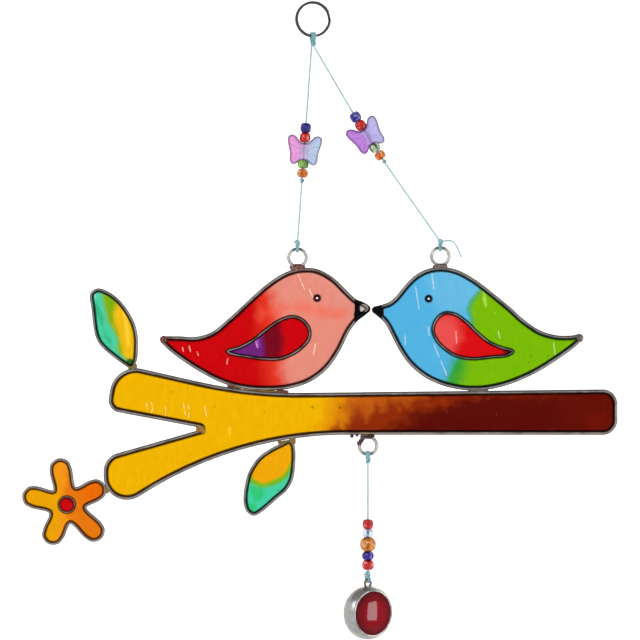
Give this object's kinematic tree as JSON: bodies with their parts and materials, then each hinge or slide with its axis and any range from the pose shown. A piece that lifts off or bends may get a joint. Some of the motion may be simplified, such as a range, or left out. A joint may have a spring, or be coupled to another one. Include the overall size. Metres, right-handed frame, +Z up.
{
  "type": "suncatcher",
  "caption": "Resin suncatcher with two birds on a forked branch, leaves, a flower and a cabochon drop, hung on beaded cords.",
  "frame": {"origin": "inner top of the split ring, where a hook bears", "axes": "+Z up, +X to the right seen from the front, the front faces -Y, and the birds lie in the plane y = 0"},
  "size_m": [0.238, 0.0168, 0.2552],
  "materials": {
    "steel": "polished flat wire, darkened",
    "pewter": "tinned wire, satin, tarnished at the welds",
    "branch_resin": "clear gloss resin, golden yellow to dark red-brown",
    "red_bird_resin": "clear gloss resin, red to salmon",
    "red_wing_resin": "clear gloss resin, red to purple",
    "blue_bird_resin": "clear gloss resin, sky blue to lime green",
    "blue_wing_resin": "clear gloss resin, red",
    "leaf_resin": "clear gloss resin, turquoise to gold",
    "flower_resin": "clear gloss resin, gold to orange",
    "centre_resin": "clear gloss resin, red",
    "black_resin": "gloss black",
    "cabochon": "polished dark red",
    "cord": "thin twisted waxed cord, pale grey-green",
    "knot": "knotted waxed cord, teal",
    "blue_glass": "clear glass, indigo",
    "red_glass": "clear glass, red",
    "green_glass": "clear glass, green with a dark stripe",
    "orange_glass": "clear glass, orange",
    "amber_glass": "cloudy glass, amber",
    "clear_glass": "clear glass, faintly blue",
    "butterfly": "clear moulded acrylic, lilac fading to pale blue"
  },
  "bodies": {
    "root": {"hanging_ring": "steel", "branch_outline": "pewter", "branch_loop": "pewter", "red_bird_outline": "pewter", "red_bird_wing_outline": "pewter", "red_bird_eye": "pewter", "red_bird_loop": "pewter", "blue_bird_outline": "pewter", "blue_bird_wing_outline": "pewter", "blue_bird_eye": "pewter", "blue_bird_loop": "pewter", "upper_leaf_outline": "pewter", "lower_leaf_outline": "pewter", "flower_outline": "pewter", "flower_centre_ring": "pewter", "drop_bezel": "pewter", "drop_loop": "pewter", "branch_resin": "branch_resin", "red_bird_resin": "red_bird_resin", "red_bird_wing_resin": "red_wing_resin", "red_bird_beak": "black_resin", "blue_bird_resin": "blue_bird_resin", "blue_bird_wing_resin": "blue_wing_resin", "blue_bird_beak": "black_resin", "upper_leaf_resin": "leaf_resin", "lower_leaf_resin": "leaf_resin", "flower_resin": "flower_resin", "flower_centre_resin": "centre_resin", "drop_resin": "cabochon", "cord_left": "cord", "cord_right": "cord", "cord_drop": "cord", "knot_ring": "knot", "knot_left_loop": "knot", "knot_right_loop": "knot", "knot_left_beads": "knot", "knot_right_beads": "knot", "knot_drop_top": "knot", "knot_drop_bottom": "knot", "left_blue_bead": "blue_glass", "left_red_bead": "red_glass", "left_butterfly_bead": "butterfly", "left_green_bead": "green_glass", "left_orange_bead": "orange_glass", "right_blue_bead": "blue_glass", "right_red_bead": "red_glass", "right_butterfly_bead": "butterfly", "right_green_bead": "green_glass", "right_orange_bead": "orange_glass", "drop_upper_red_bead": "red_glass", "drop_clear_bead": "clear_glass", "drop_amber_bead": "amber_glass", "drop_blue_bead": "blue_glass", "drop_lower_red_bead": "red_glass"}
  },
  "joints": []
}
